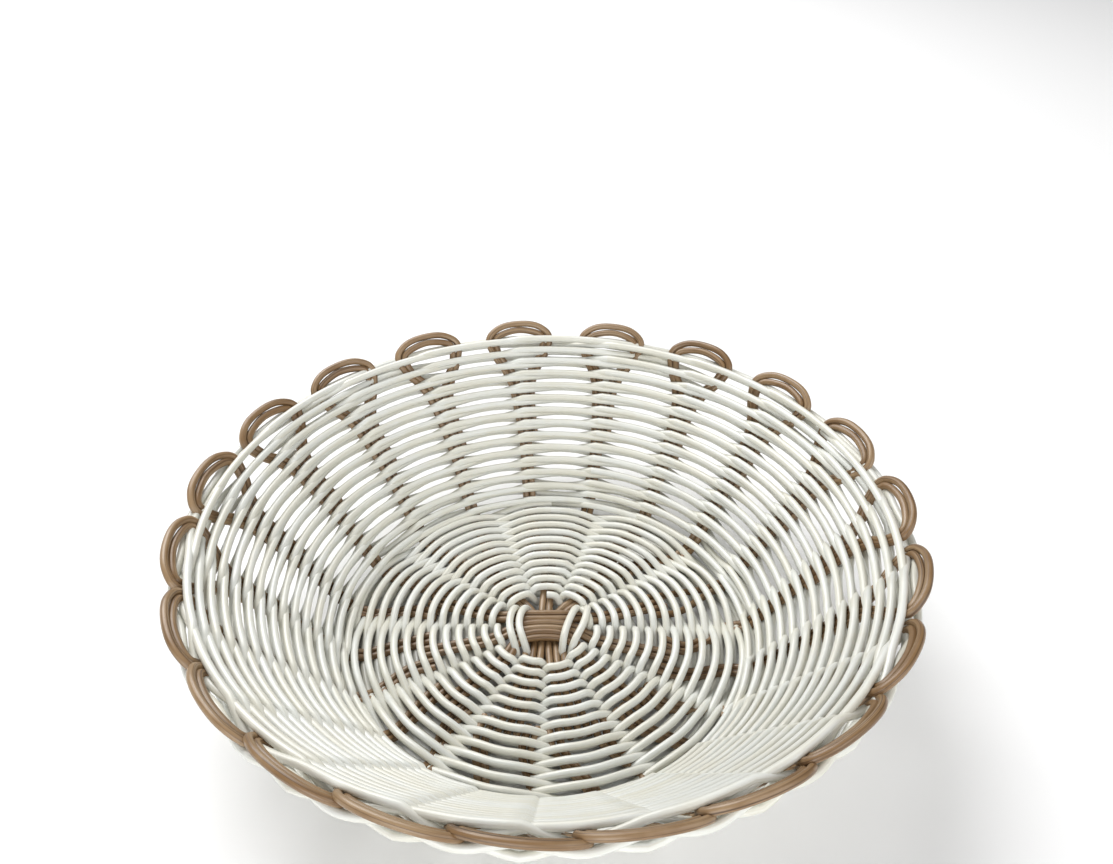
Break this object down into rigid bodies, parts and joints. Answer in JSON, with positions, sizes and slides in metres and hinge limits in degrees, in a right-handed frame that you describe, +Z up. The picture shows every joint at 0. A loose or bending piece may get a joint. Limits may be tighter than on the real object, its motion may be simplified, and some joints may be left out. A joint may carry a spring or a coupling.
{
  "type": "bread basket",
  "caption": "Round open bread basket of woven cane: flat base, sloping see-through wall and a scalloped border of folded rods.",
  "frame": {"origin": "centre of the circle that the basket stands on, in the plane of the table", "axes": "+Z up through the mouth; +Y to the back, +X to the right, seen from the front"},
  "size_m": [0.2636, 0.264, 0.0701],
  "materials": {
    "pale_strand": "ivory plastic cane, semi-gloss",
    "brown_rod": "brown plastic cane with fine streaks, satin"
  },
  "bodies": {
    "root": {"sticks_across": "brown_rod", "sticks_along": "brown_rod", "centre_binding": "pale_strand", "foot_strand": "pale_strand", "rim_strand": "pale_strand", "stake_pair_01": "brown_rod", "stake_pair_02": "brown_rod", "stake_pair_03": "brown_rod", "stake_pair_04": "brown_rod", "stake_pair_05": "brown_rod", "stake_pair_06": "brown_rod", "stake_pair_07": "brown_rod", "stake_pair_08": "brown_rod", "stake_pair_09": "brown_rod", "stake_pair_10": "brown_rod", "stake_pair_11": "brown_rod", "stake_pair_12": "brown_rod", "stake_pair_13": "brown_rod", "stake_pair_14": "brown_rod", "stake_pair_15": "brown_rod", "stake_pair_16": "brown_rod", "stake_pair_17": "brown_rod", "stake_pair_18": "brown_rod", "stake_pair_19": "brown_rod", "stake_pair_20": "brown_rod", "stake_pair_21": "brown_rod", "base_round_01": "pale_strand", "base_round_02": "pale_strand", "base_round_03": "pale_strand", "base_round_04": "pale_strand", "base_round_05": "pale_strand", "base_round_06": "pale_strand", "base_round_07": "pale_strand", "base_round_08": "pale_strand", "base_round_09": "pale_strand", "base_round_10": "pale_strand", "base_round_11": "pale_strand", "base_round_12": "pale_strand", "wall_round_01": "pale_strand", "wall_round_02": "pale_strand", "wall_round_03": "pale_strand", "wall_round_04": "pale_strand", "wall_round_05": "pale_strand", "wall_round_06": "pale_strand", "wall_round_07": "pale_strand", "wall_round_08": "pale_strand", "wall_round_09": "pale_strand", "wall_round_10": "pale_strand", "wall_round_11": "pale_strand", "wall_round_12": "pale_strand", "wall_round_13": "pale_strand", "wall_round_14": "pale_strand"}
  },
  "joints": []
}
